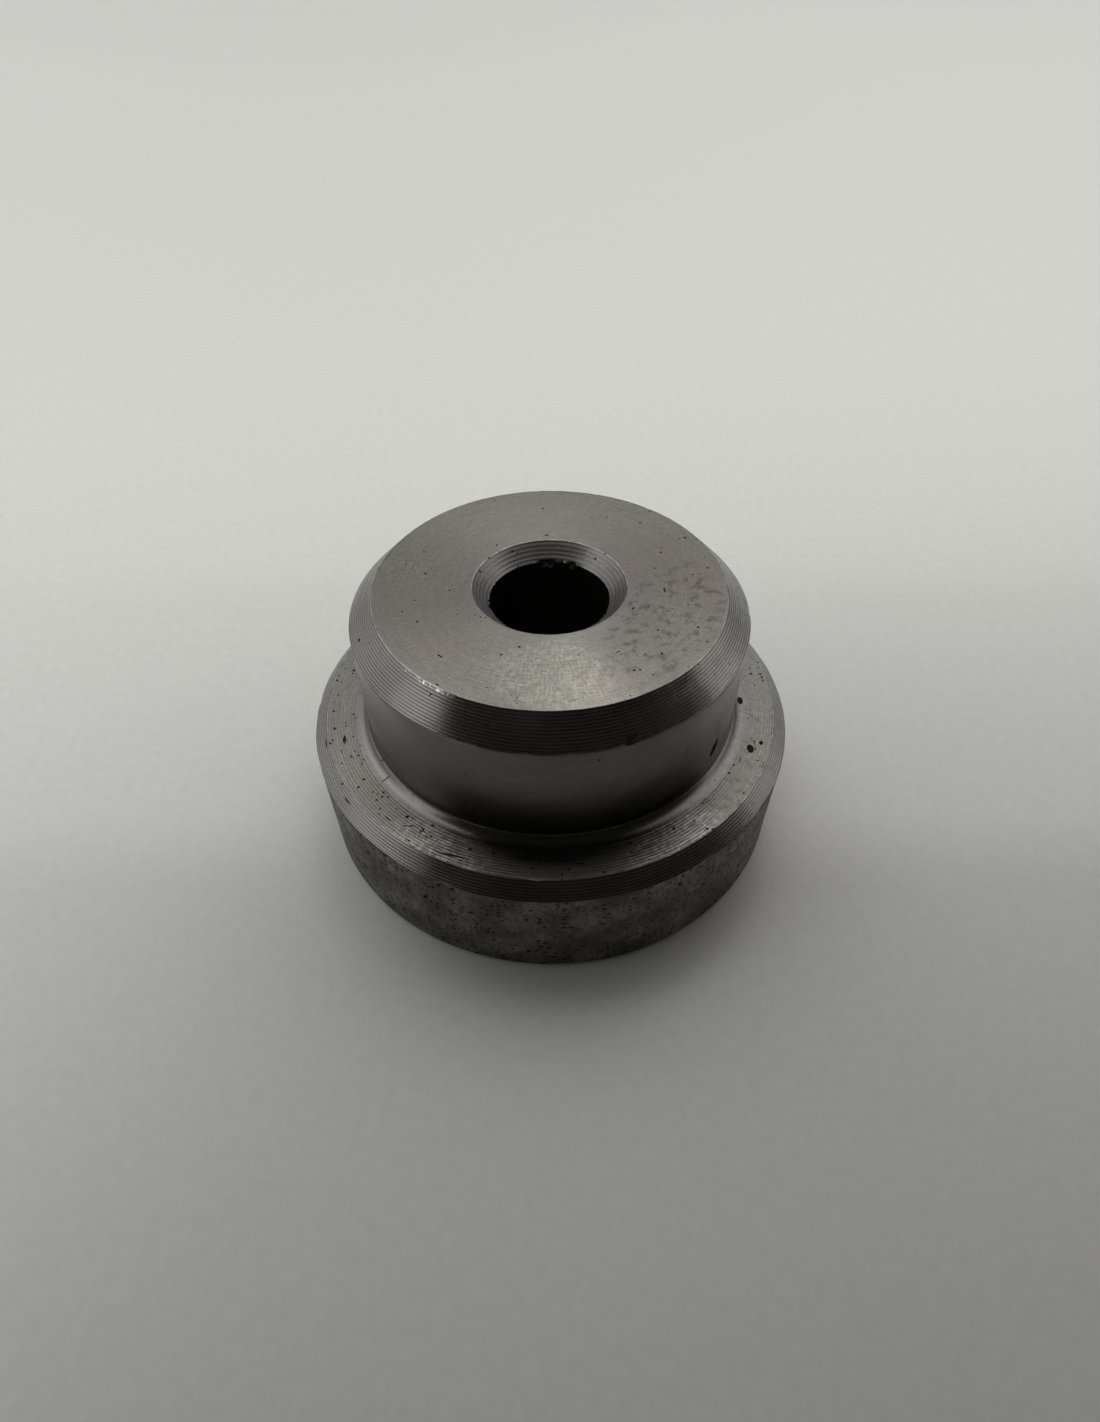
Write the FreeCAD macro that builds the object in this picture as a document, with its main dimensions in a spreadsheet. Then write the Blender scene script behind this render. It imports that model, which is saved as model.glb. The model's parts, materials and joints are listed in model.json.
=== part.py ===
import FreeCAD, Part
import math
import os
import Sketcher

# A shouldered shaft collar turned from one piece of round steel bar, in millimetres.
# Its axis is Z. The origin is the middle of the flat base that it stands on.
# The bar's own raw skin is left on the wide flange. The boss above it, the shoulder,
# the chamfers and the countersunk bore are machined.

doc = FreeCAD.newDocument("shaft_collar")

dimensions = [
    ("flange_diameter", 35.0),       # raw bar size
    ("flange_thickness", 9.1),
    ("flange_chamfer", 1.0),         # 45 degrees, on the flange's upper rim
    ("boss_diameter", 26.9),
    ("boss_chamfer", 1.7),           # 45 degrees, on the boss's upper rim
    ("total_height", 19.0),
    ("root_radius", 0.6),            # fillet where the boss meets the shoulder
    ("bore_diameter", 8.1),          # clears an 8 mm shaft
    ("countersink_diameter", 10.3),
    ("countersink_angle", 90.0),     # included angle
    ("base_edge_break", 0.3),        # small chamfer round the base
    ("bore_exit_break", 0.3),        # small chamfer where the bore leaves the base
]

sheet = doc.addObject("Spreadsheet::Sheet", "dimensions")
for row, (alias, value) in enumerate(dimensions, start=1):
    sheet.set(f"A{row}", alias)
    sheet.set(f"B{row}", str(value))
    sheet.setAlias(f"B{row}", alias)
doc.recompute()


def cell(alias):
    """The value of a driving dimension."""
    return float(sheet.get(alias))


def bind(feature, prop, formula):
    """Ties a property to the sheet. Names in braces are aliases of its cells."""
    aliases = {alias: f"dimensions.{alias}" for alias, _ in dimensions}
    feature.setExpression(prop, formula.format(**aliases))


def origin_plane(body, role):
    """One of the body's own three origin planes."""
    return next(f for f in body.Origin.OriginFeatures if f.Role == role)


def sketch_on(body, role, name):
    """An empty sketch on one of the body's origin planes."""
    sketch = body.newObject("Sketcher::SketchObject", name)
    sketch.AttachmentSupport = [(origin_plane(body, role), "")]
    sketch.MapMode = "FlatFace"
    return sketch


def rim(feature, diameter, height):
    """The name of the feature's circular edge of this diameter at this height."""
    for number, edge in enumerate(feature.Shape.Edges, start=1):
        if edge.Curve.TypeId != "Part::GeomCircle":
            continue
        same_radius = abs(edge.Curve.Radius - diameter / 2) < 1e-4
        same_height = abs(edge.Curve.Center.z - height) < 1e-4
        if same_radius and same_height:
            return f"Edge{number}"
    raise ValueError(f"{feature.Name} has no edge of diameter {diameter} at {height}")


def turned_blank(body):
    """The stepped blank: an L-shaped half section turned about Z."""
    flange_r = cell("flange_diameter") / 2
    boss_r = cell("boss_diameter") / 2
    shoulder = cell("flange_thickness")
    top = cell("total_height")
    corners = [
        (0, 0),
        (flange_r, 0),
        (flange_r, shoulder),
        (boss_r, shoulder),
        (boss_r, top),
        (0, top),
    ]

    sketch = sketch_on(body, "XZ_Plane", "half_section")
    points = [FreeCAD.Vector(x, z, 0) for x, z in corners]
    for start, end in zip(points, points[1:] + points[:1]):
        sketch.addGeometry(Part.LineSegment(start, end), False)
    base, flange_wall, shoulder_face, boss_wall, top_face, axis = range(6)
    for line in range(6):
        sketch.addConstraint(Sketcher.Constraint("Coincident", line, 2, (line + 1) % 6, 1))
    for line in (base, shoulder_face, top_face):
        sketch.addConstraint(Sketcher.Constraint("Horizontal", line))
    for line in (flange_wall, boss_wall, axis):
        sketch.addConstraint(Sketcher.Constraint("Vertical", line))
    sketch.addConstraint(Sketcher.Constraint("Coincident", base, 1, -1, 1))

    sizes = [
        ("flange_radius", "DistanceX", (base, 1, base, 2), flange_r, "{flange_diameter} / 2"),
        ("boss_radius", "DistanceX", (top_face, 2, top_face, 1), boss_r, "{boss_diameter} / 2"),
        ("thickness", "DistanceY", (flange_wall, 1, flange_wall, 2), shoulder, "{flange_thickness}"),
        ("height", "DistanceY", (axis, 2, axis, 1), top, "{total_height}"),
    ]
    for name, kind, ends, value, formula in sizes:
        index = sketch.addConstraint(Sketcher.Constraint(kind, *ends, value))
        sketch.renameConstraint(index, name)
        bind(sketch, f"Constraints.{name}", formula)

    blank = body.newObject("PartDesign::Revolution", "turned_blank")
    blank.Profile = sketch
    blank.ReferenceAxis = (sketch, ["V_Axis"])
    blank.Angle = 360
    doc.recompute()
    return blank


def chamfer(body, base, name, diameter, height, formula):
    """A 45 degree chamfer on one rim."""
    cut = body.newObject("PartDesign::Chamfer", name)
    cut.Base = (base, [rim(base, diameter, height)])
    cut.ChamferType = "Equal distance"
    bind(cut, "Size", formula)
    doc.recompute()
    return cut


def root_fillet(body, base):
    """The tool-nose radius in the corner between boss and shoulder."""
    fillet = body.newObject("PartDesign::Fillet", "root_fillet")
    fillet.Base = (base, [rim(base, cell("boss_diameter"), cell("flange_thickness"))])
    bind(fillet, "Radius", "{root_radius}")
    doc.recompute()
    return fillet


def countersunk_bore(body):
    """The through bore, countersunk from the boss's face. It is drilled downwards."""
    sketch = sketch_on(body, "XY_Plane", "bore_centre")
    bind(sketch, "AttachmentOffset.Base.z", "{total_height}")
    circle = Part.Circle(FreeCAD.Vector(), FreeCAD.Vector(0, 0, 1), cell("bore_diameter") / 2)
    sketch.addGeometry(circle, False)
    sketch.addConstraint(Sketcher.Constraint("Coincident", 0, 3, -1, 1))
    index = sketch.addConstraint(Sketcher.Constraint("Diameter", 0, cell("bore_diameter")))
    sketch.renameConstraint(index, "bore")
    bind(sketch, "Constraints.bore", "{bore_diameter}")
    doc.recompute()

    bore = body.newObject("PartDesign::Hole", "countersunk_bore")
    bore.Profile = sketch
    doc.recompute()
    bore.ThreadType = "None"
    bore.DepthType = "ThroughAll"
    bore.HoleCutType = "Countersink"
    bore.HoleCutCustomValues = True
    bind(bore, "Diameter", "{bore_diameter}")
    bind(bore, "HoleCutDiameter", "{countersink_diameter}")
    bind(bore, "HoleCutCountersinkAngle", "{countersink_angle}")
    doc.recompute()
    return bore


def collar_body():
    """The whole collar: one solid piece of bar."""
    body = doc.addObject("PartDesign::Body", "collar_body")
    body.Label = "collar_body"
    blank = turned_blank(body)
    top_rim = (cell("boss_diameter"), cell("total_height"))
    shoulder_rim = (cell("flange_diameter"), cell("flange_thickness"))
    base_rim = (cell("flange_diameter"), 0)
    bore_exit = (cell("bore_diameter"), 0)
    boss_edge = chamfer(body, blank, "boss_chamfer", *top_rim, "{boss_chamfer}")
    flange_edge = chamfer(body, boss_edge, "flange_chamfer", *shoulder_rim, "{flange_chamfer}")
    base_edge = chamfer(body, flange_edge, "base_edge_break", *base_rim, "{base_edge_break}")
    root_fillet(body, base_edge)
    bore = countersunk_bore(body)
    body.Tip = chamfer(body, bore, "bore_exit_break", *bore_exit, "{bore_exit_break}")
    body.Placement = FreeCAD.Placement()
    return body


def cone_volume(r_low, r_high, height):
    """The volume of a cone's frustum."""
    return math.pi / 3 * height * (r_low**2 + r_low * r_high + r_high**2)


def bore_volume():
    """What the bore, its countersink and its exit chamfer take out of the solid."""
    bore_r = cell("bore_diameter") / 2
    sink_r = cell("countersink_diameter") / 2
    sink_depth = sink_r - bore_r
    exit_depth = cell("bore_exit_break")
    wall = cell("total_height") - sink_depth - exit_depth
    sink = cone_volume(bore_r, sink_r, sink_depth)
    exit_cone = cone_volume(bore_r + exit_depth, bore_r, exit_depth)
    return cone_volume(bore_r, bore_r, wall) + sink + exit_cone


def check(parts):
    """Stops unless every object is sound and the bore really goes through."""
    for item in doc.Objects:
        if "Invalid" in item.State or "Error" in item.State:
            raise RuntimeError(f"{item.Name} is {item.State}")
    for part in parts:
        if part.Shape.isNull() or not part.Shape.isValid():
            raise RuntimeError(f"{part.Label} has no sound shape")
    body = parts[0]
    before = doc.getObject("root_fillet").Shape.Volume
    taken = before - body.Shape.Volume
    if abs(taken - bore_volume()) > 0.01:
        raise RuntimeError(f"the bore takes {taken:.2f} mm3, not {bore_volume():.2f}")


parts = [collar_body()]
doc.recompute()
check(parts)

os.makedirs("parts", exist_ok=True)
for part in parts:
    part.Shape.exportStep(f"parts/{part.Label}.step")
    box = part.Shape.BoundBox
    print(f"{part.Label}: {box.XLength:.2f} x {box.YLength:.2f} x {box.ZLength:.2f} mm")
    print(f"volume {part.Shape.Volume:.0f} mm3")
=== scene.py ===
import json
import math

import bpy
import numpy as np
from mathutils import Matrix, Vector


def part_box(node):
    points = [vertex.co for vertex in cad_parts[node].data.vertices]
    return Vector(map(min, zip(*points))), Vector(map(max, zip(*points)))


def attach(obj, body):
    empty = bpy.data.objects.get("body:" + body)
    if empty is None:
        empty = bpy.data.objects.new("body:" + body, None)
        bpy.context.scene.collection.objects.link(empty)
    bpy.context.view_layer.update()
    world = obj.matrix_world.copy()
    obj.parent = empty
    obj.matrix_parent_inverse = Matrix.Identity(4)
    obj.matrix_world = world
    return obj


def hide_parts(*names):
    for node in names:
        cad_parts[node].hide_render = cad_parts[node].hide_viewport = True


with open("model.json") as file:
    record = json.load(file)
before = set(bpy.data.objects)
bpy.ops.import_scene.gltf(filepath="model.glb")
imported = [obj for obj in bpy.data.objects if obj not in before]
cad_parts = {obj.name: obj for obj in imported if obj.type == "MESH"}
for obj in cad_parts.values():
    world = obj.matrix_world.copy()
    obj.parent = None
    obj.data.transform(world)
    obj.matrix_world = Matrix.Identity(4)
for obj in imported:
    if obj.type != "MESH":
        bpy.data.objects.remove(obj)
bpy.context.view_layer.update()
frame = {"record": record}

mm = 0.001
lowCorner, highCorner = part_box("collar_body")
mounts = {mount["name"]: mount for mount in frame["record"]["mounts"]}


def wallSpan(mount):
    # lowest and highest point of a round mount's wall along Z
    middle = mount["pos_m"][2]
    half = mount["dims"]["length_mm"] * mm / 2
    return middle - half, middle + half


# every size of the collar, read from the frame
flangeR = (highCorner.x - lowCorner.x) / 2
topZ = highCorner.z
shoulderZ = mounts["shoulder_face"]["pos_m"][2]
bossR = mounts["boss_spigot"]["dims"]["r_mm"] * mm
boreR = mounts["bore"]["dims"]["r_mm"] * mm
bossHighZ = wallSpan(mounts["boss_spigot"])[1]
boreLowZ, boreHighZ = wallSpan(mounts["bore"])
bossChamfer = topZ - bossHighZ
sinkDepth = topZ - boreHighZ
exitBreak = boreLowZ
print("frame loaded, flange radius", round(flangeR / mm, 2), "mm")


camera = {
    "distance": 3.0697,      # from the middle of the boss face, in flange radii
    "elevation": 36.851,     # degrees above the boss face
    "tiltDown": 9.024,       # degrees that the lens looks below the middle of the boss face
    "turn": 0.023,           # degrees to the left
    "roll": 0.424,           # degrees about the line of sight
    "focal": 20.243,         # mm
    "sensor": 36,            # mm, the frame's long side
}


def addCamera(c):
    # in front (-Y) and above, aimed at the middle of the boss face, then turned, tilted down
    # and rolled
    elevation = math.radians(c["elevation"])
    away = Vector((0, -math.cos(elevation), math.sin(elevation)))
    ahead = -away
    right = Vector((1, 0, 0))
    up = right.cross(ahead)
    turn = Matrix.Rotation(math.radians(c["turn"]), 3, up)
    ahead = turn @ ahead
    right = turn @ right
    ahead = Matrix.Rotation(-math.radians(c["tiltDown"]), 3, right) @ ahead
    right = Matrix.Rotation(math.radians(c["roll"]), 3, ahead) @ right
    up = right.cross(ahead)
    lens = bpy.data.cameras.new("camera")
    lens.lens = c["focal"]
    lens.sensor_width = c["sensor"]
    lens.clip_start = 0.002
    made = bpy.data.objects.new("camera", lens)
    place = Vector((0, 0, topZ)) + away * c["distance"] * flangeR
    turned = Matrix((right, up, -ahead)).transposed().to_4x4()
    made.matrix_world = Matrix.Translation(place) @ turned
    bpy.context.scene.collection.objects.link(made)
    bpy.context.scene.camera = made
    return made


view = addCamera(camera)


def put(tree, kind, inputs=None, **settings):
    # one node; an input is a number, a colour or the socket that feeds it
    made = tree.nodes.new(kind)
    for name, value in settings.items():
        setattr(made, name, value)
    for name, value in (inputs or {}).items():
        if isinstance(value, bpy.types.NodeSocket):
            tree.links.new(value, made.inputs[name])
        else:
            made.inputs[name].default_value = value
    return made


def calc(tree, operation, *values, clamp=False):
    made = put(tree, "ShaderNodeMath", dict(enumerate(values)), operation=operation, use_clamp=clamp)
    return made.outputs[0]


def step(tree, value, low, high):
    # 0 below low, 1 above high, smooth between
    made = put(tree, "ShaderNodeMapRange", {"Value": value, "From Min": low, "From Max": high},
               interpolation_type="SMOOTHSTEP")
    return made.outputs["Result"]


def mix(tree, factor, first, second, blend="MIX"):
    made = put(tree, "ShaderNodeMix", data_type="RGBA", blend_type=blend)
    sockets = {socket.identifier: socket for socket in made.inputs}
    for name, value in (("Factor_Float", factor), ("A_Color", first), ("B_Color", second)):
        if isinstance(value, bpy.types.NodeSocket):
            tree.links.new(value, sockets[name])
        elif name == "Factor_Float":
            sockets[name].default_value = value
        else:
            sockets[name].default_value = (*value, 1)
    return next(socket for socket in made.outputs if socket.identifier == "Result_Color")


def newGroup(name, inputs, outputs):
    tree = bpy.data.node_groups.new(name, "ShaderNodeTree")
    for label, value in inputs.items():
        kind = "NodeSocketVector" if value is None else "NodeSocketFloat"
        socket = tree.interface.new_socket(label, in_out="INPUT", socket_type=kind)
        if value is not None:
            socket.default_value = value
    for label in outputs:
        tree.interface.new_socket(label, in_out="OUTPUT", socket_type="NodeSocketFloat")
    return tree, tree.nodes.new("NodeGroupInput").outputs, tree.nodes.new("NodeGroupOutput").inputs


def placeGroup(tree, group, inputs):
    made = tree.nodes.new("ShaderNodeGroup")
    made.node_tree = group
    for name, value in inputs.items():
        if isinstance(value, bpy.types.NodeSocket):
            tree.links.new(value, made.inputs[name])
        else:
            made.inputs[name].default_value = value
    return made.outputs[0]


def ringVector(tree, place, around, along):
    # the direction from the axis times around, with along as its third part:
    # a pattern on it joins up round the collar
    parts = put(tree, "ShaderNodeSeparateXYZ", {"Vector": place}).outputs
    flat = put(tree, "ShaderNodeCombineXYZ", {"X": parts["X"], "Y": parts["Y"]}).outputs[0]
    unit = put(tree, "ShaderNodeVectorMath", {0: flat}, operation="NORMALIZE").outputs[0]
    ring = put(tree, "ShaderNodeVectorMath", {0: unit, "Scale": around}, operation="SCALE").outputs[0]
    lift = put(tree, "ShaderNodeCombineXYZ", {"Z": along}).outputs[0]
    return put(tree, "ShaderNodeVectorMath", {0: ring, 1: lift}, operation="ADD").outputs[0]


def latheLinesGroup():
    # fine lines round the axis: noise that is long round the circle and short across it
    tree, given, result = newGroup(
        "latheLines", {"Place": None, "Along": 0.0, "Spacing": 0.1, "Breaks": 3.0, "Detail": 3.0}, ["Lines"])
    across = calc(tree, "DIVIDE", given["Along"], given["Spacing"])
    spot = ringVector(tree, given["Place"], given["Breaks"], across)
    noise = put(tree, "ShaderNodeTexNoise", {"Vector": spot, "Scale": 1.0, "Detail": given["Detail"]})
    tree.links.new(noise.outputs[0], result["Lines"])
    return tree


def cloudGroup():
    # soft patches, 0 to 1; Low and High say how much of the surface they cover
    tree, given, result = newGroup(
        "cloud", {"Place": None, "Size": 2.0, "Low": 0.4, "High": 0.6, "Detail": 4.0}, ["Mask"])
    scale = calc(tree, "DIVIDE", 1 / mm, given["Size"])
    noise = put(tree, "ShaderNodeTexNoise", {
        "Vector": given["Place"], "Scale": scale, "Detail": given["Detail"]})
    tree.links.new(step(tree, noise.outputs[0], given["Low"], given["High"]), result["Mask"])
    return tree


def specksGroup():
    # small dark spots of mixed size: cells bent by noise, some of them with a spot in the middle
    tree, given, result = newGroup(
        "specks", {"Place": None, "Spacing": 0.6, "Share": 0.3, "Size": 0.3}, ["Mask"])
    scale = calc(tree, "DIVIDE", 1 / mm, given["Spacing"])
    bend = put(tree, "ShaderNodeTexNoise", {"Vector": given["Place"], "Scale": 4 / mm, "Detail": 1.0})
    shift = put(tree, "ShaderNodeVectorMath", {
        0: bend.outputs["Color"], "Scale": 0.20 * mm}, operation="SCALE").outputs[0]
    spot = put(tree, "ShaderNodeVectorMath", {0: given["Place"], 1: shift}, operation="ADD").outputs[0]
    cells = put(tree, "ShaderNodeTexVoronoi", {"Vector": spot, "Scale": scale})
    parts = put(tree, "ShaderNodeSeparateColor", {"Color": cells.outputs["Color"]}).outputs
    chosen = calc(tree, "LESS_THAN", parts[0], given["Share"])
    bigness = calc(tree, "ADD", calc(tree, "MULTIPLY", parts[1], 0.8), 0.2)
    reach = calc(tree, "MULTIPLY", bigness, given["Size"])
    inner = calc(tree, "MULTIPLY", reach, 0.55)
    spots = calc(tree, "SUBTRACT", 1.0, step(tree, cells.outputs["Distance"], inner, reach))
    tree.links.new(calc(tree, "MULTIPLY", spots, chosen), result["Mask"])
    return tree


def markGroup():
    # one soft oval mark: the place measured in the mark's own frame, with the edge at distance 1
    tree, given, result = newGroup(
        "mark", {"Place": None, "Centre": None, "Turn": None, "Size": None}, ["Mask"])
    own = put(tree, "ShaderNodeMapping", {
        "Vector": given["Place"], "Location": given["Centre"],
        "Rotation": given["Turn"], "Scale": given["Size"]}, vector_type="TEXTURE").outputs[0]
    reach = put(tree, "ShaderNodeVectorMath", {0: own}, operation="LENGTH").outputs["Value"]
    tree.links.new(calc(tree, "SUBTRACT", 1.0, step(tree, reach, 0.6, 1.1)), result["Mask"])
    return tree


def markInputs(facing, angle, radius, height, length, width, tilt):
    # the mark's frame: X along its length, Y across it, Z into the steel, which faces
    # facing degrees above level there
    turn = math.radians(angle)
    lean = math.radians(tilt)
    around = Vector((-math.sin(turn), math.cos(turn), 0))
    slope = math.radians(facing)
    rise = Vector((-math.cos(turn) * math.sin(slope), -math.sin(turn) * math.sin(slope), math.cos(slope)))
    lengthwise = around * math.cos(lean) + rise * math.sin(lean)
    crosswise = rise * math.cos(lean) - around * math.sin(lean)
    inwards = lengthwise.cross(crosswise)
    frameOfMark = Matrix((lengthwise, crosswise, inwards)).transposed()
    return {
        "Centre": Vector((radius * math.cos(turn), radius * math.sin(turn), height)) * mm,
        "Turn": frameOfMark.to_euler("XYZ"),
        "Size": Vector((length / 2, width / 2, max(0.6, width / 2))) * mm,
    }


def lampGroup():
    # light of one soft lamp far away, seen along Aim: brightest towards Toward and a third of that
    # at Softness degrees from it
    tree, given, result = newGroup(
        "softLamp", {"Aim": None, "Toward": None, "Softness": 14.0, "Strength": 1.0}, ["Light"])
    match = put(tree, "ShaderNodeVectorMath", {0: given["Aim"], 1: given["Toward"]}, operation="DOT_PRODUCT")
    apart = calc(tree, "SUBTRACT", match.outputs["Value"], 1.0)
    spread = calc(tree, "POWER", calc(tree, "RADIANS", given["Softness"]), 2.0)
    fall = calc(tree, "EXPONENT", calc(tree, "DIVIDE", calc(tree, "MULTIPLY", apart, 2.0), spread))
    tree.links.new(calc(tree, "MULTIPLY", fall, given["Strength"]), result["Light"])
    return tree


latheLines = latheLinesGroup()
cloud = cloudGroup()
specks = specksGroup()
mark = markGroup()
softLamp = lampGroup()
print("shader groups ready")


# turned steel: one set of choices for each kind of machined face. The light and dark colours are set zone by
# zone to how bright each zone looks, so they hold painted light and shade as well as the steel's tone.
# A mark is its angle, radius, height, length, width and tilt from the ring
faceSteel = {
    "facing": 90,             # degrees above level that the surface faces
    "light": (0.290, 0.274, 0.246),
    "dark": (0.190, 0.185, 0.169),
    "warm": (0.270, 0.236, 0.222),      # the tint of part of it
    "stain": (0.085, 0.083, 0.068),
    "speck": (0.030, 0.027, 0.020),
    # painted glint: the sharp edges are mixed towards this bright colour
    "glint": (0.620, 0.600, 0.570),
    "hollows": 0.10,          # how dark the feed marks' hollows are
    "edges": 0.8,             # how bright the sharp edges are
    "roughness": 0.27,
    "anisotropy": 0.85,
    "lines": 0.0026,          # mm, depth of the fine lines
    "ticks": 0.0060,          # mm, depth of the short marks across them
    "stains": 0.70,
    "stainArea": (-28.0, 8.3, 19.0, 15.0, 7.5, 0),      # where the stains are, as a mark
    # the crossed lines are tool marks painted bright as a highlight, in the areas listed
    "hatch": 0.30,            # strength of the crossed bright lines
    "hatchRings": 1.0,        # how far those round the axis take part
    "hatchColour": (0.450, 0.436, 0.375),
    "hatchAreas": ((-90.0, 8.7, 19.0, 8.5, 6.8, 0),),
    "dots": 0.10,             # share of places with a dark dot
    "dotSize": 0.30,
    "scratches": 0.05,
    "marks": {
        "dotRight": (28.8, 11.0, 19.0, 0.26, 0.2, 0),
        "dotNearBore": (24.5, 8.5, 19.0, 0.2, 0.16, 0),
        "scratchRight": (-5.5, 7.6, 19.0, 0.5, 0.14, 10),
        "dotBack": (47.5, 9.8, 19.0, 0.22, 0.18, 0),
    },
}

shoulderSteel = faceSteel | {
    "light": (0.265, 0.256, 0.238),
    "dark": (0.155, 0.151, 0.139),
    "warm": (0.252, 0.243, 0.224),
    "hollows": 0.30,
    "roughness": 0.29,
    "anisotropy": 0.75,
    "ticks": 0.0014,
    "stains": 0.65,
    "stainArea": (-30.0, 15.4, 9.1, 16.0, 8.0, 0),
    # on the shoulder the crossed lines are a painted highlight in two patches at the front
    "hatch": 0.35,
    "hatchColour": (0.470, 0.455, 0.415),
    "hatchAreas": ((-116.0, 15.7, 9.1, 8.5, 3.2, 0), (-60.0, 15.5, 9.1, 8.5, 3.4, 0)),
    "dots": 0.30,
    "dotSize": 0.38,
    "scratches": 0.32,
    "marks": {
        "outerScratch": (-113.0, 15.9, 9.1, 2.3, 0.14, 8),
        "curl": (-126.6, 15.4, 9.1, 0.9, 0.10, 35),
        "curlTail": (-123.0, 15.1, 9.1, 0.7, 0.10, -25),
        "stain": (-23.0, 15.2, 9.1, 0.8, 0.5, 20),
        "spot": (-20.0, 15.8, 9.1, 0.4, 0.3, 0),
        "chip": (-5.0, 14.20, 9.1, 0.80, 0.42, 0),
    },
}

wallSteel = faceSteel | {
    "facing": 0,
    # painted shade: the wall's colours are darker than the face's
    "light": (0.175, 0.167, 0.160),
    "dark": (0.135, 0.129, 0.123),
    "warm": (0.180, 0.165, 0.158),
    "hollows": 0.0,
    "edges": 0.0,
    "roughness": 0.21,
    "anisotropy": 0.75,
    "lines": 0.0003,
    "ticks": 0.0,
    "hatch": 0.0,
    "stains": 0.20,
    "stainArea": (-30.0, 13.5, 12.0, 40.0, 40.0, 0),
    "dots": 0.03,
    "scratches": 0.02,
    "marks": {
        "dent": (-36.6, 13.45, 11.6, 1.5, 0.80, 62),
        "chip": (-5.0, 14.15, 9.2, 0.80, 0.42, 0),
        "smudge": (-69.6, 13.4, 17.25, 0.9, 0.3, 12),
        "rootLine": (-142.8, 14.1, 9.2, 0.09, 0.8, 0),
    },
}

rootSteel = wallSteel | {
    "facing": 60,
    # painted shade: the root's colours are darker than the face's
    "light": (0.205, 0.199, 0.188),
    "dark": (0.145, 0.140, 0.132),
    "warm": (0.205, 0.195, 0.184),
    "roughness": 0.22,
    "anisotropy": 0.70,
    "dots": 0.10,
    "edges": 0.5,
}

chamferSteel = faceSteel | {
    "facing": 45,
    # painted light: the chamfers' colours are lighter than the face's
    "light": (0.430, 0.416, 0.396),
    "dark": (0.340, 0.330, 0.313),
    "warm": (0.420, 0.400, 0.385),
    "hollows": 0.70,
    "roughness": 0.23,
    "anisotropy": 0.80,
    "lines": 0.0002,
    "ticks": 0.0,
    # on the chamfer the crossed lines are a painted glint along its top edge
    "hatch": 0.9,
    "hatchRings": 0.0,
    "hatchColour": (0.900, 0.880, 0.840),
    "hatchAreas": ((-127.0, 11.80, 18.96, 4.6, 0.42, 0),),
    "stains": 0.25,
    "stainArea": (-20.0, 13.5, 12.0, 40.0, 40.0, 0),
    "dots": 0.05,
    "scratches": 0.04,
    "marks": {
        "smudge": (-69.6, 13.3, 17.50, 1.0, 0.50, 12),
        "dot": (-160.8, 12.9, 17.9, 0.26, 0.22, 0),
    },
}

sinkSteel = faceSteel | {
    "light": (0.315, 0.300, 0.294),
    "dark": (0.215, 0.205, 0.201),
    "warm": (0.315, 0.292, 0.286),
    "roughness": 0.38,
    "anisotropy": 0.50,
    "stains": 0.0,
    "hatch": 0.0,
    "dots": 0.22,
    "marks": {},
}


def markMask(tree, place, facing, spot):
    return placeGroup(tree, mark, {"Place": place} | markInputs(facing, *spot))


def crossedHighlightLines(tree, place, along, bars, s):
    # bars across the turned lines and rings along them, in the areas named for them: tool marks that are
    # painted bright there as a highlight
    rings = placeGroup(tree, latheLines, {
        "Place": place, "Along": along, "Spacing": 0.10, "Breaks": 16.0, "Detail": 2.0})
    ringShare = calc(tree, "MULTIPLY", step(tree, rings, 0.46, 0.64), s["hatchRings"])
    crossed = calc(tree, "ADD", step(tree, bars, 0.46, 0.64), ringShare)
    area = 0.0
    for patch in s["hatchAreas"]:
        area = calc(tree, "MAXIMUM", area, markMask(tree, place, s["facing"], patch))
    return calc(tree, "MULTIPLY", crossed, calc(tree, "MULTIPLY", area, s["hatch"]), clamp=True)


def darkMarks(tree, place, along, s):
    # dots, short scratches that follow the lines, and the marks with a place of their own
    marks = placeGroup(tree, specks, {
        "Place": place, "Spacing": 0.36, "Share": s["dots"], "Size": s["dotSize"]})
    stretched = ringVector(tree, place, 3.5 * mm, calc(tree, "MULTIPLY", along, 1.3 * mm))
    short = placeGroup(tree, specks, {
        "Place": stretched, "Spacing": 0.46, "Share": s["scratches"], "Size": 0.26})
    marks = calc(tree, "MAXIMUM", marks, short)
    for spot in s["marks"].values():
        marks = calc(tree, "MAXIMUM", marks, markMask(tree, place, s["facing"], spot))
    return marks


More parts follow.
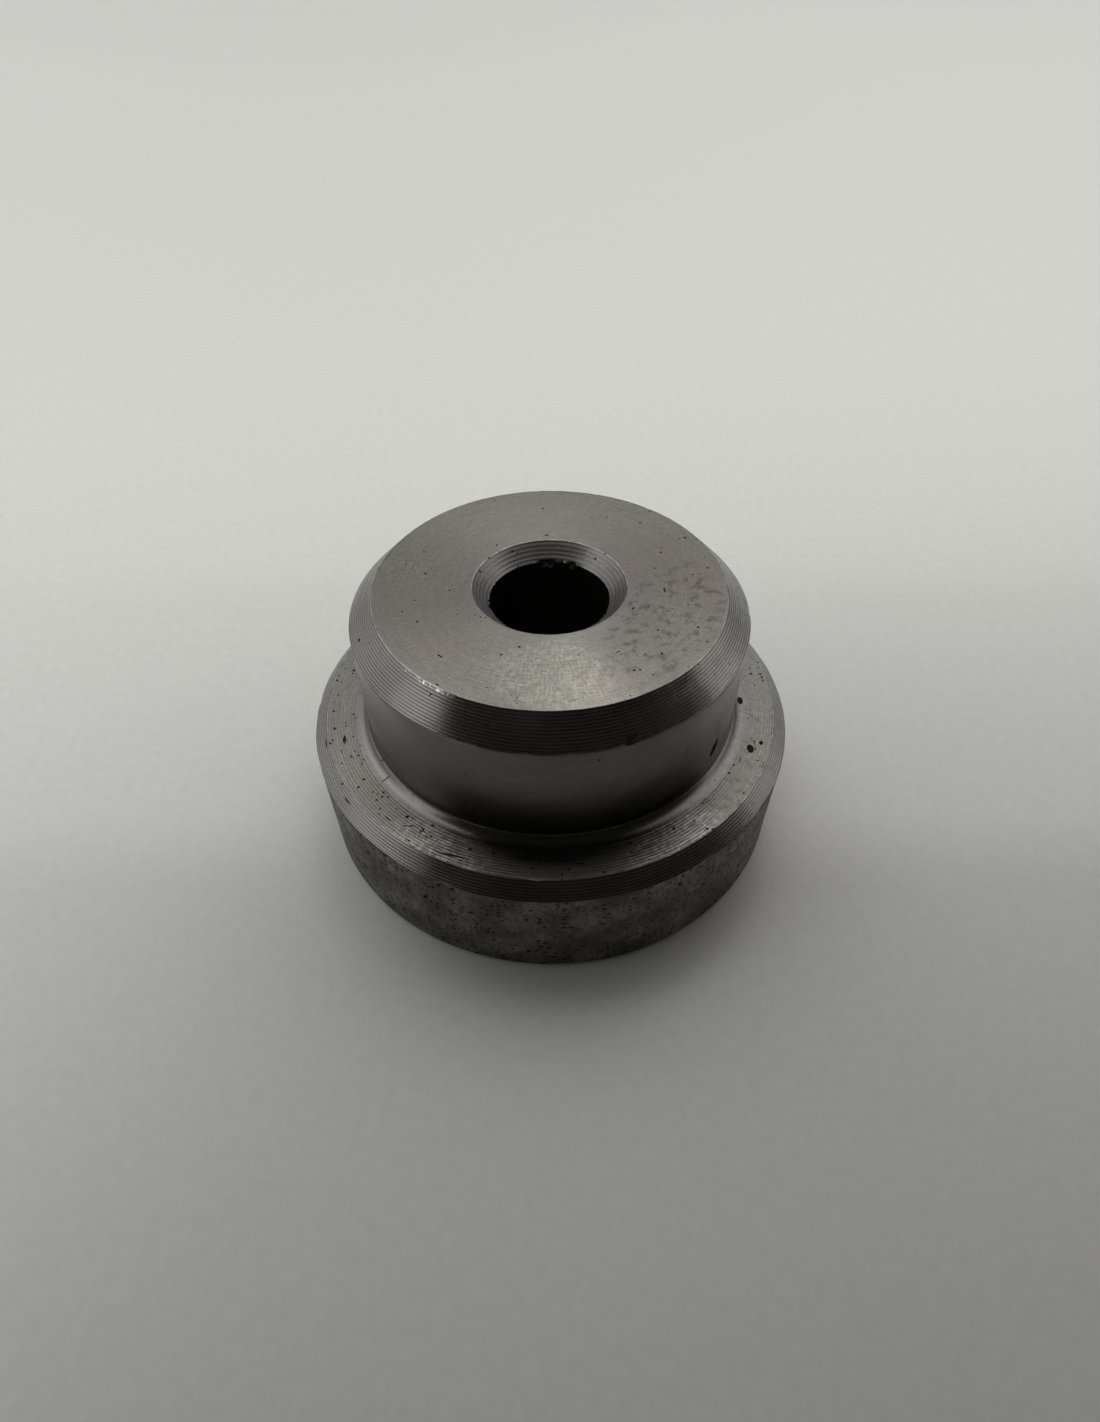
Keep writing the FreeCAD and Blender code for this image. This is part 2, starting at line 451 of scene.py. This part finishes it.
def turnedSteel(name, s):
    material = bpy.data.materials.new(name)
    material.use_nodes = True
    tree = material.node_tree
    shader = tree.nodes["Principled BSDF"]
    place = put(tree, "ShaderNodeTexCoord").outputs["Object"]
    along = put(tree, "ShaderNodeAttribute", attribute_name="along").outputs["Fac"]
    ridge = put(tree, "ShaderNodeAttribute", attribute_name="ridge").outputs["Fac"]
    edge = put(tree, "ShaderNodeAttribute", attribute_name="edge").outputs["Fac"]

    # colour: fine lines, darker hollows of the feed marks, dull patches, stains, crossed lines painted bright
    # as a highlight, painted glints on the sharp edges and dark marks
    fine = placeGroup(tree, latheLines, {"Place": place, "Along": along, "Spacing": 0.08, "Breaks": 3.0})
    dull = placeGroup(tree, cloud, {"Place": place, "Size": 6.0, "Low": 0.38, "High": 0.66})
    stain = placeGroup(tree, cloud, {"Place": place, "Size": 0.60, "Low": 0.49, "High": 0.70, "Detail": 12.0})
    grain = placeGroup(tree, cloud, {"Place": place, "Size": 0.22, "Low": 0.3, "High": 0.7, "Detail": 2.0})
    bright = calc(tree, "MULTIPLY", calc(tree, "ADD", step(tree, fine, 0.3, 0.7), grain), 0.5)
    tint = placeGroup(tree, cloud, {"Place": place, "Size": 7.0, "Low": 0.42, "High": 0.60, "Detail": 3.0})
    colour = mix(tree, tint, s["light"], s["warm"])
    colour = mix(tree, bright, s["dark"], colour)
    # the feed marks' hollows are made darker
    hollow = calc(tree, "MULTIPLY", calc(tree, "SUBTRACT", 1.0, ridge), s["hollows"])
    colour = mix(tree, hollow, colour, s["speck"])
    colour = mix(tree, calc(tree, "MULTIPLY", dull, 0.35), colour, s["dark"])
    area = markMask(tree, place, s["facing"], s["stainArea"])
    stain = calc(tree, "MULTIPLY", stain, calc(tree, "MULTIPLY", area, s["stains"]))
    colour = mix(tree, stain, colour, s["stain"])
    bars = placeGroup(tree, latheLines, {
        "Place": place, "Along": along, "Spacing": 0.5, "Breaks": 75.0, "Detail": 2.0})
    # painted highlight: the crossed lines are mixed towards a bright colour
    if s["hatch"] > 0:
        colour = mix(tree, crossedHighlightLines(tree, place, along, bars, s), colour, s["hatchColour"])
    # painted glint along the sharp edges, broken into patches by this cloud
    worn = placeGroup(tree, cloud, {"Place": place, "Size": 0.7, "Low": 0.35, "High": 0.7, "Detail": 3.0})
    glint = calc(tree, "MULTIPLY", calc(tree, "MULTIPLY", edge, worn), s["edges"])
    colour = mix(tree, glint, colour, s["glint"])
    dirt = step(tree, darkMarks(tree, place, along, s), 0.0, 0.4)
    tree.links.new(mix(tree, dirt, colour, s["speck"]), shader.inputs["Base Color"])

    # the marks are dull dirt, which isn't metal
    tree.links.new(calc(tree, "SUBTRACT", 1.0, dirt), shader.inputs["Metallic"])
    shader.inputs["Specular IOR Level"].default_value = 0.0

    # roughness: duller in the patches
    rough = calc(tree, "ADD", s["roughness"], calc(tree, "MULTIPLY", dull, 0.05))
    tree.links.new(rough, shader.inputs["Roughness"])

    # height in mm: the lines and the short bars across them
    lineHeight = calc(tree, "MULTIPLY", fine, s["lines"])
    height = calc(tree, "ADD", lineHeight, calc(tree, "MULTIPLY", bars, s["ticks"]))
    bump = put(tree, "ShaderNodeBump", {"Height": height, "Distance": mm, "Strength": 1.0})
    tree.links.new(bump.outputs[0], shader.inputs["Normal"])

    shader.inputs["Anisotropic"].default_value = s["anisotropy"]
    shader.inputs["Anisotropic Rotation"].default_value = 0.25     # the blur runs across the lines
    return material


# the bar's own skin, as rolled
raw = {
    "scale": (0.112, 0.101, 0.095),
    "worn": (0.258, 0.240, 0.228),
    "rust": (0.100, 0.074, 0.058),
    "pit": (0.012, 0.010, 0.009),
    "roughness": 0.46,
}


def barSkin(s):
    material = bpy.data.materials.new("barSkin")
    material.use_nodes = True
    tree = material.node_tree
    shader = tree.nodes["Principled BSDF"]
    place = put(tree, "ShaderNodeTexCoord").outputs["Object"]
    tall = put(tree, "ShaderNodeMapping", {"Vector": place, "Scale": (1, 1, 0.35)}).outputs[0]

    patches = placeGroup(tree, cloud, {"Place": place, "Size": 2.4, "Low": 0.36, "High": 0.68, "Detail": 6.0})
    grain = placeGroup(tree, cloud, {"Place": tall, "Size": 0.30, "Low": 0.3, "High": 0.7, "Detail": 3.0})
    rust = placeGroup(tree, cloud, {"Place": place, "Size": 3.5, "Low": 0.5, "High": 0.75, "Detail": 5.0})
    bent = put(tree, "ShaderNodeMapping", {"Vector": place, "Scale": (0.8, 0.8, 1.3)}).outputs[0]
    pits = placeGroup(tree, specks, {"Place": bent, "Spacing": 0.33, "Share": 0.75, "Size": 0.54})
    fine = placeGroup(tree, specks, {"Place": place, "Spacing": 0.14, "Share": 0.70, "Size": 0.46})

    colour = mix(tree, patches, s["scale"], s["worn"])
    colour = mix(tree, calc(tree, "MULTIPLY", grain, 0.5), colour, s["scale"])
    colour = mix(tree, calc(tree, "MULTIPLY", rust, 0.5), colour, s["rust"])
    crowd = placeGroup(tree, cloud, {"Place": place, "Size": 2.6, "Low": 0.27, "High": 0.47, "Detail": 4.0})
    holes = calc(tree, "MULTIPLY", calc(tree, "MAXIMUM", pits, calc(tree, "MULTIPLY", fine, 0.8)), crowd)
    tree.links.new(mix(tree, holes, colour, s["pit"]), shader.inputs["Base Color"])

    rough = calc(tree, "ADD", s["roughness"], calc(tree, "MULTIPLY", grain, 0.14))
    rough = calc(tree, "ADD", rough, calc(tree, "MULTIPLY", holes, 0.25))
    tree.links.new(rough, shader.inputs["Roughness"])

    height = calc(tree, "SUBTRACT", calc(tree, "MULTIPLY", grain, 0.016), calc(tree, "MULTIPLY", holes, 0.06))
    height = calc(tree, "ADD", height, calc(tree, "MULTIPLY", patches, 0.02))
    bump = put(tree, "ShaderNodeBump", {"Height": height, "Distance": mm, "Strength": 1.0})
    tree.links.new(bump.outputs[0], shader.inputs["Normal"])
    shader.inputs["Metallic"].default_value = 1.0
    return material


# the collar
skin = {
    "columns": 224,          # points round the axis
    "feed": 0.2,             # mm of tool travel per turn
    "flangeChamfer": 1.0,    # mm
    "baseBreak": 0.3,
    "rootWide": 1.0,         # mm, how far the hollow at the boss's foot reaches out
    "rootHigh": 0.5,         # mm, and how far up the boss
    "chamferCut": 0.015,     # mm, depth of the feed marks
    "faceCut": 0.005,
    "shoulderCut": 0.012,
    "sinkCut": 0.016,
    "sawCut": 0.015,
    "rawSwell": 0.030,       # mm, unevenness of the bar's skin
    "rimWander": 0.080,      # mm, where the skin meets the chamfer
    "wanderDown": 1.2,       # mm, how far that reaches down the skin
    "wanderUp": 0.7,         # mm, and up the chamfer
    "nick": 0.060,           # mm, depth of small dents along the sharp edges
    "nickCount": 26,
    "nickWidth": 0.0022,     # turns
    "burr": 0.260,           # mm, ragged edge where the countersink meets the bore
    "burrUp": 0.18,          # mm, how far it reaches up the countersink
    "burrDown": 0.5,         # mm, and down the bore
    "mouth": 0.6,            # mm of the bore, from its top, that has close rows of points
    # where that edge is torn: angle and half width in degrees
    "tears": ((92, 9), (66, 12), (-34, 9), (-62, 5), (-131, 10), (-170, 5)),
    "seed": 7,
}


def stretch(points, cut, feed, zone):
    # one stretch with, for each point, its distance along it
    steps = np.linalg.norm(np.diff(points, axis=0), axis=1)
    along = np.concatenate([[0], np.cumsum(steps)])
    return {"points": points, "along": along, "cut": cut, "feed": feed, "zone": zone}


def line(start, end, spacing, cut, feed, zone):
    # points evenly spaced from start to end
    start = np.array(start)
    end = np.array(end)
    count = max(2, int(round(np.linalg.norm(end - start) / spacing)) + 1)
    t = np.linspace(0, 1, count)[:, None]
    return stretch(start + t * (end - start), cut, feed, zone)


def oval(centre, wide, high, spacing, zone):
    # a quarter of an oval: centre + (wide cos a, high sin a), from its lowest point to its
    # innermost one
    count = max(4, int(round(0.8 * (wide + high) / spacing)) + 1)
    a = np.linspace(-math.pi / 2, -math.pi, count)
    points = np.array(centre) + np.stack([wide * np.cos(a), high * np.sin(a)], 1)
    return stretch(points, 0, high, zone)


def halfSection(s):
    # the collar's half section as a closed run of stretches, from the bore's lower edge
    # out along the base, up the flange, over the boss and down the bore
    feed = s["feed"] * mm
    edge = s["flangeChamfer"] * mm
    base = s["baseBreak"] * mm
    sink = boreR + sinkDepth
    flat = bossR - bossChamfer
    wide = s["rootWide"] * mm
    high = s["rootHigh"] * mm
    foot = bossR + wide
    rimLow = shoulderZ - edge
    mouthLow = boreHighZ - s["mouth"] * mm
    return [
        line((boreR + exitBreak, 0), (flangeR - base, 0), 0.5 * mm, s["sawCut"], 1.5 * mm, "base"),
        line((flangeR - base, 0), (flangeR, base), 0.15 * mm, 0, feed, "break"),
        line((flangeR, base), (flangeR, rimLow), 0.32 * mm, 0, feed, "raw"),
        line((flangeR, rimLow), (flangeR - edge, shoulderZ), feed / 6, s["chamferCut"], feed, "rim"),
        line((flangeR - edge, shoulderZ), (foot, shoulderZ), feed / 5, s["shoulderCut"], feed, "shoulder"),
        oval((foot, shoulderZ + high), wide, high, 0.05 * mm, "root"),
        line((bossR, shoulderZ + high), (bossR, bossHighZ), 0.4 * mm, 0, feed, "wall"),
        line((bossR, bossHighZ), (flat, topZ), feed / 6, s["chamferCut"], feed, "bossRim"),
        line((flat, topZ), (sink, topZ), feed / 4, s["faceCut"], feed, "face"),
        line((sink, topZ), (boreR, boreHighZ), feed / 4, s["sinkCut"], feed * 1.6, "sink"),
        line((boreR, boreHighZ), (boreR, mouthLow), 0.15 * mm, 0, feed, "mouth"),
        line((boreR, mouthLow), (boreR, boreLowZ), 1.8 * mm, 0, feed, "bore"),
        line((boreR, boreLowZ), (boreR + exitBreak, 0), 0.15 * mm, 0, feed, "exit"),
    ]


def feedMarks(along, feed):
    # a round-nosed tool leaves hollows with sharp ridges between: the square of the distance
    # from each hollow's middle, 0 on the ridges and -1 in the hollows. Both ends are ridges
    length = along[-1]
    turns = max(1, round(length / feed))
    place = along / length * turns
    return (2 * (place % 1.0) - 1) ** 2 - 1


def smoothNoise(rng, rows, turns, spacing, lobes):
    # random heights from -1 to 1 on a lattice, joined by smooth steps: rows / spacing one way
    # and turns * lobes the other way, where it joins on to itself
    u = (rows - rows.min()) / spacing
    v = turns * lobes
    lattice = rng.uniform(-1, 1, (int(u.max()) + 2, lobes))
    iu = np.floor(u).astype(int)[:, None]
    iv = np.floor(v).astype(int)[None, :]
    fu = u[:, None] - iu
    fv = v[None, :] - iv
    fu = fu * fu * (3 - 2 * fu)
    fv = fv * fv * (3 - 2 * fv)
    near = lattice[iu, iv % lobes] * (1 - fv) + lattice[iu, (iv + 1) % lobes] * fv
    far = lattice[iu + 1, iv % lobes] * (1 - fv) + lattice[iu + 1, (iv + 1) % lobes] * fv
    return near * (1 - fu) + far * fu


def nicks(rng, turns, count, width):
    # dents along an edge: a sum of small bells at random turns, each 0 to 1 deep
    centres = rng.uniform(0, 1, count)
    depths = rng.uniform(0.2, 1, count) ** 2
    widths = rng.uniform(0.6, 1.6, count) * width
    gap = (turns[:, None] - centres + 0.5) % 1 - 0.5
    return np.minimum((depths * np.exp(-(gap / widths) ** 2)).sum(1), 1)


def tearing(turns, tears):
    # how torn an edge is, 0 to 1: a flat-topped bell round each tear's angle, as wide as it says
    angle = turns[:, None] * 360
    centres = np.array([tear[0] for tear in tears])
    widths = np.array([tear[1] for tear in tears])
    gap = (angle - centres + 180) % 360 - 180
    return np.exp(-(gap / widths) ** 4).max(1)


def collarSkin(s):
    # a ring of rings: each point of the half section is turned about Z, moved along the
    # section's own normal by the depth of the cut and the dents there. The skin's edge and
    # the torn edge are moved by random amounts that fade out away from them
    rng = np.random.default_rng(s["seed"])
    turns = np.arange(s["columns"]) / s["columns"]
    angles = turns * 2 * math.pi
    slow = smoothNoise(rng, np.zeros(1), turns, 1, 17)[0]
    quick = smoothNoise(rng, np.zeros(1), turns, 1, 71)[0]
    edgeWander = s["rimWander"] * mm * (0.6 * slow + 0.4 * quick - 0.35)
    radii = []
    heights = []
    zones = []
    alongs = []
    ridges = []
    edges = []
    walked = 0
    for run in halfSection(s):
        points = run["points"]
        along = run["along"]
        zone = run["zone"]
        direction = np.gradient(points, axis=0)
        direction /= np.linalg.norm(direction, axis=1)[:, None]
        normal = np.stack([direction[:, 1], -direction[:, 0]], 1)      # outwards
        depth = (run["cut"] * mm * feedMarks(along, run["feed"]))[:, None] * np.ones(len(turns))
        if run["cut"] > 0:
            depth *= 1 + 0.4 * smoothNoise(rng, along, turns, run["feed"], 9)
        shiftR = np.zeros_like(depth)
        shiftZ = np.zeros_like(depth)
        ends = np.minimum(along, along[-1] - along)[:, None]
        if zone == "raw":
            broad = smoothNoise(rng, along, turns, 2.2 * mm, 31)
            close = smoothNoise(rng, along, turns, 0.7 * mm, 97)
            swell = 0.6 * broad + 0.4 * close
            depth = s["rawSwell"] * mm * (swell - 0.6) * np.clip(ends / (0.5 * mm), 0, 1)
            top = np.clip(1 - (along[-1] - along) / (s["wanderDown"] * mm), 0, 1)[:, None] ** 2
            shiftR += edgeWander * top
            shiftZ -= edgeWander * top
        if zone == "rim":
            low = np.clip(1 - along / (s["wanderUp"] * mm), 0, 1)[:, None] ** 2
            shiftR += edgeWander * low
            shiftZ -= edgeWander * low
        if zone in ("bossRim", "face", "rim", "shoulder"):
            # small dents on the edge where the stretch ends or starts
            fade = np.exp(-(ends / (0.05 * mm)) ** 2)
            depth -= s["nick"] * mm * fade * nicks(rng, turns, s["nickCount"], s["nickWidth"])
        radius = points[:, 0][:, None] + normal[:, 0][:, None] * depth + shiftR
        height = points[:, 1][:, None] + normal[:, 1][:, None] * depth + shiftZ
        if zone == "sink":
            coarse = np.repeat(rng.uniform(-1, 1, len(turns) // 4 + 1), 4)[:len(turns)]
            fine = rng.uniform(-1, 1, len(turns))
            ragged = tearing(turns, s["tears"]) * (0.55 * coarse + 0.45 * fine - 0.35) + 0.08 * fine
            low = np.clip(1 - (along[-1] - along) / (s["burrUp"] * mm), 0, 1)[:, None]
            radius -= s["burr"] * mm * low * ragged
        if zone == "mouth":
            low = np.clip(1 - along / (s["burrDown"] * mm), 0, 1)[:, None]
            radius -= s["burr"] * mm * low * ragged
        radii.append(radius[:-1])
        heights.append(height[:-1])
        zones += [zone] * (len(points) - 1)
        alongs.append(walked + along[:-1] / mm)
        walked += along[-1] / mm
        ridge = 1 + feedMarks(along, run["feed"]) if run["cut"] > 0 else np.full(len(along), 0.5)
        ridges.append(ridge[:-1])
        sharp = np.zeros(len(along) - 1)
        sharp[0] = zone in ("shoulder", "wall", "face", "sink", "bossRim")
        edges.append(sharp)
    radius = np.concatenate(radii)
    grid = np.stack([radius * np.cos(angles), radius * np.sin(angles), np.concatenate(heights)], 2)
    numbers = {"along": alongs, "ridge": ridges, "edge": edges}
    return grid, zones, {name: np.concatenate(parts) for name, parts in numbers.items()}


def closedGrid(name, grid):
    # grid[row, column] of points, joined on to itself both ways, with four-sided faces
    rowCount, columnCount = grid.shape[:2]
    row, column = np.meshgrid(np.arange(rowCount), np.arange(columnCount), indexing="ij")
    nextRow = (row + 1) % rowCount
    nextColumn = (column + 1) % columnCount
    corners = np.stack([
        row * columnCount + column,
        row * columnCount + nextColumn,
        nextRow * columnCount + nextColumn,
        nextRow * columnCount + column,
    ], 2).reshape(-1, 4)
    mesh = bpy.data.meshes.new(name)
    mesh.vertices.add(rowCount * columnCount)
    mesh.vertices.foreach_set("co", grid.reshape(-1).astype(np.float32))
    mesh.loops.add(corners.size)
    mesh.loops.foreach_set("vertex_index", corners.reshape(-1).astype(np.int32))
    mesh.polygons.add(len(corners))
    mesh.polygons.foreach_set("loop_start", np.arange(0, corners.size, 4, dtype=np.int32))
    mesh.polygons.foreach_set("use_smooth", np.ones(len(corners), dtype=bool))
    mesh.update(calc_edges=True)
    mesh.validate()
    return mesh


def setPoints(mesh, name, perRow, columns):
    # one number for each row of the grid, kept on its points
    attribute = mesh.attributes.new(name, "FLOAT", "POINT")
    attribute.data.foreach_set("value", np.repeat(perRow, columns).astype(np.float32))


def addCollar(s):
    grid, zones, numbers = collarSkin(s)
    mesh = closedGrid("collar", grid)
    for name, perRow in numbers.items():
        setPoints(mesh, name, perRow, s["columns"])
    steels = {
        "face": faceSteel, "shoulder": shoulderSteel, "wall": wallSteel,
        "root": rootSteel, "chamfer": chamferSteel, "sink": sinkSteel}
    for kind, steel in steels.items():
        mesh.materials.append(turnedSteel(kind + "Steel", steel))
    mesh.materials.append(barSkin(raw))
    order = [*steels, "raw"]
    # each zone's finish; those left out have the wall's
    kinds = {
        "face": "face", "shoulder": "shoulder", "root": "root", "rim": "chamfer", "bossRim": "chamfer",
        "sink": "sink", "raw": "raw", "break": "raw", "base": "raw"}
    slots = np.array([order.index(kinds.get(zone, "wall")) for zone in zones], dtype=np.int32)
    mesh.polygons.foreach_set("material_index", np.repeat(slots, s["columns"]))
    made = bpy.data.objects.new("collar", mesh)
    bpy.context.scene.collection.objects.link(made)
    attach(made, "root")
    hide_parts("collar_body")
    print("collar:", len(mesh.polygons) * 2, "triangles")
    return made


collar = addCollar(skin)


stage = {
    "floorSize": 3.0,                     # m
    "floorColour": (0.705, 0.705, 0.674),
    "boardLeft": 0.057,                   # m from the lens
    "boardRight": 0.235,
    "boardUp": 0.065,
    "boardDown": 0.070,
    "tubeHeight": 1.5,                    # m
    "tubeLength": 1.4,
    "tubeWidth": 0.09,
    "tubeRight": 0.15,                    # in tube heights
    "tubes": ((-12.4, 1.0), (6.0, 2.0)),  # degrees behind overhead, power in W
}


def addStage(name, corners, material):
    mesh = bpy.data.meshes.new(name)
    mesh.from_pydata([tuple(corner) for corner in corners], [], [(0, 1, 2, 3)])
    mesh.materials.append(material)
    made = bpy.data.objects.new(name, mesh)
    bpy.context.scene.collection.objects.link(made)
    return made


def floorPaint(s):
    material = bpy.data.materials.new("paleFloor")
    material.use_nodes = True
    tree = material.node_tree
    shader = tree.nodes["Principled BSDF"]
    place = put(tree, "ShaderNodeTexCoord").outputs["Object"]
    grain = placeGroup(tree, cloud, {"Place": place, "Size": 0.8, "Low": 0.2, "High": 0.8, "Detail": 3.0})
    darker = tuple(part * 0.94 for part in s["floorColour"])
    tree.links.new(mix(tree, grain, darker, s["floorColour"]), shader.inputs["Base Color"])
    shader.inputs["Roughness"].default_value = 0.6
    return material


def boardPaint():
    material = bpy.data.materials.new("darkBoard")
    material.use_nodes = True
    shader = material.node_tree.nodes["Principled BSDF"]
    shader.inputs["Base Color"].default_value = (0.012, 0.012, 0.012, 1)
    shader.inputs["Roughness"].default_value = 0.6
    return material


def addBoard(s, view):
    # a dark board round the lens, as a studio flag, which the lens itself doesn't see
    behind = 0.001
    corners = [
        (-s["boardLeft"], s["boardUp"]), (s["boardRight"], s["boardUp"]),
        (s["boardRight"], -s["boardDown"]), (-s["boardLeft"], -s["boardDown"]),
    ]
    made = addStage("board", [view.matrix_world @ Vector((x, y, behind)) for x, y in corners], boardPaint())
    made.visible_camera = False


def addTube(s, number, lean, power):
    # a long soft tube overhead, across the view
    lamp = bpy.data.lights.new(f"tube{number}", "AREA")
    lamp.shape = "RECTANGLE"
    lamp.size = s["tubeLength"]
    lamp.size_y = s["tubeWidth"]
    lamp.energy = power
    made = bpy.data.objects.new(f"tube{number}", lamp)
    turn = math.radians(lean)
    made.location = Vector((s["tubeRight"], math.sin(turn), math.cos(turn))) * s["tubeHeight"]
    made.rotation_euler = (-turn, 0, 0)
    bpy.context.scene.collection.objects.link(made)


# the light is a little green from the left and a little pink from the right
leftTint = (0.985, 1.0, 0.975)
rightTint = (1.0, 0.983, 0.975)

# soft lamps far off: compass angle (0 right, 90 behind, -90 in front), height, softness in degrees
# and strength
lamps = (
    (15, 4, 20, 1.02),
    (75, 4, 14, 0.30),
    (165, 4, 20, 0.95),
    (-5, 17, 12, 0.40),
    (185, 17, 12, 0.45),
    (0, 32, 12, 0.50),
    (60, 32, 12, 1.05),
    (90, 32, 12, 0.35),
    (130, 32, 16, 0.78),
    (195, 32, 14, 0.86),
    (-140, 49, 14, 0.70),
    (0, 49, 14, 1.10),
    (45, 49, 14, 1.50),
    (90, 49, 14, 1.05),
    (135, 49, 14, 1.45),
    (180, 49, 14, 1.05),
    (-90, 66, 14, 0.50),
    (-30, 66, 14, 1.20),
    (90, 66, 14, 0.90),
    (150, 66, 14, 1.20),
    (210, 66, 14, 1.50),
    (90, 88, 14, 0.90),
    (77, 59, 7, 3.40),
    (-90, 20, 40, 0.10),
)


def addRoom():
    # the sum of the soft lamps' light, with the tint mixed from left to right
    world = bpy.data.worlds.new("softRoom")
    world.use_nodes = True
    tree = world.node_tree
    aim = put(tree, "ShaderNodeTexCoord").outputs["Generated"]
    light = 0.0
    for compass, rise, softness, strength in lamps:
        turn = math.radians(compass)
        lift = math.radians(rise)
        toward = (math.cos(turn) * math.cos(lift), math.sin(turn) * math.cos(lift), math.sin(lift))
        one = placeGroup(tree, softLamp, {
            "Aim": aim, "Toward": toward, "Softness": softness, "Strength": strength})
        light = calc(tree, "ADD", light, one)
    ground = tree.nodes["Background"]
    tree.links.new(light, ground.inputs["Strength"])
    across = put(tree, "ShaderNodeSeparateXYZ", {"Vector": aim}).outputs["X"]
    tree.links.new(mix(tree, step(tree, across, -0.8, 0.8), leftTint, rightTint), ground.inputs["Color"])
    bpy.context.scene.world = world


addStage("floor", [
    (x * stage["floorSize"], y * stage["floorSize"], 0) for x, y in ((-1, -1), (1, -1), (1, 1), (-1, 1))
], floorPaint(stage))
addBoard(stage, view)
for number, (lean, power) in enumerate(stage["tubes"]):
    addTube(stage, number, lean, power)
addRoom()
bpy.context.scene.view_settings.view_transform = "Standard"
print("floor, board and light ready")
